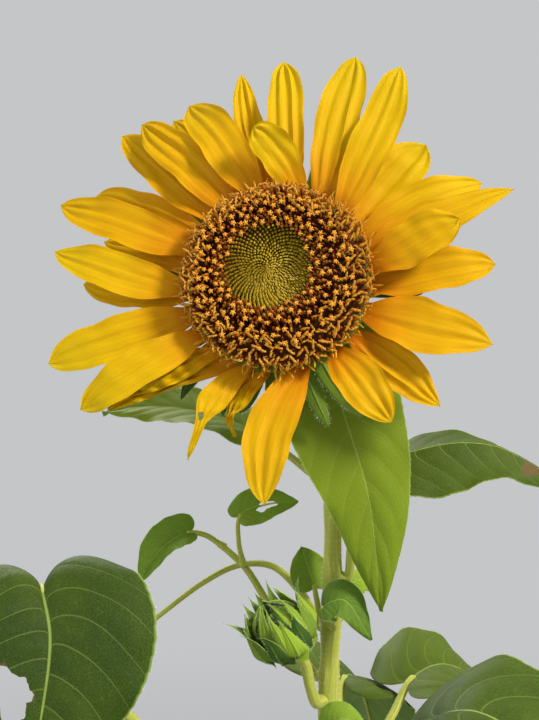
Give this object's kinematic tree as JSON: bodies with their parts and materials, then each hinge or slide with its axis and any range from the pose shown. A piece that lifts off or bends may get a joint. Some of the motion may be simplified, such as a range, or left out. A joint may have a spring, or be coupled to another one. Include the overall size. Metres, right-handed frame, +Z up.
{
  "type": "sunflower plant",
  "caption": "Rooted flowering sunflower: leaning green stem, stalked heart-shaped leaves, a closed side bud and one yellow flower head facing forward.",
  "frame": {"origin": "centre of the flat cut under the stem, at ground level", "axes": "+Z up along the stem, -Y the way the flower faces, +X to the right of someone looking at the flower"},
  "size_m": [0.4331, 0.4196, 1.0017],
  "materials": {
    "stem": "pale yellow-green, matt, with short stiff hairs",
    "leaf": "mid green, rough and slightly glossy, with paler veins",
    "young_leaf": "light green, softly hairy",
    "bract": "green, matt, hairy edges",
    "petal": "golden yellow, satin, fine lengthwise ridges",
    "floret": "maroon to dark brown with golden tips and an olive middle"
  },
  "bodies": {
    "root": {"stem": "stem", "receptacle": "bract", "disc": "floret", "petal_01": "petal", "petal_02": "petal", "petal_03": "petal", "petal_04": "petal", "petal_05": "petal", "petal_06": "petal", "petal_07": "petal", "petal_08": "petal", "petal_09": "petal", "petal_10": "petal", "petal_11": "petal", "petal_12": "petal", "petal_13": "petal", "petal_14": "petal", "petal_15": "petal", "petal_16": "petal", "petal_17": "petal", "petal_18": "petal", "petal_19": "petal", "petal_20": "petal", "petal_21": "petal", "petal_22": "petal", "petal_23": "petal", "petal_24": "petal", "petal_25": "petal", "petal_26": "petal", "petal_27": "petal", "petal_28": "petal", "petal_29": "petal", "leaf_front": "leaf", "leaf_right": "leaf", "leaf_left": "leaf", "leaf_heart": "leaf", "leaf_back_right": "leaf", "leaf_far_right": "leaf", "leaf_low_right": "leaf", "leaf_left_low": "leaf", "shoot_stalk": "stem", "shoot_bud": "bract", "branch_left": "stem", "shoot_leaf_near": "young_leaf", "shoot_leaf_round": "young_leaf", "shoot_leaf_pale": "young_leaf", "shoot_leaf_low": "young_leaf", "branch_leaf_end": "young_leaf", "branch_leaf_up": "young_leaf", "leaf_01": "leaf", "leaf_02": "leaf", "leaf_03": "leaf", "leaf_04": "leaf", "leaf_05": "leaf", "leaf_06": "leaf", "leaf_07": "leaf", "leaf_08": "leaf", "leaf_09": "leaf"}
  },
  "joints": []
}
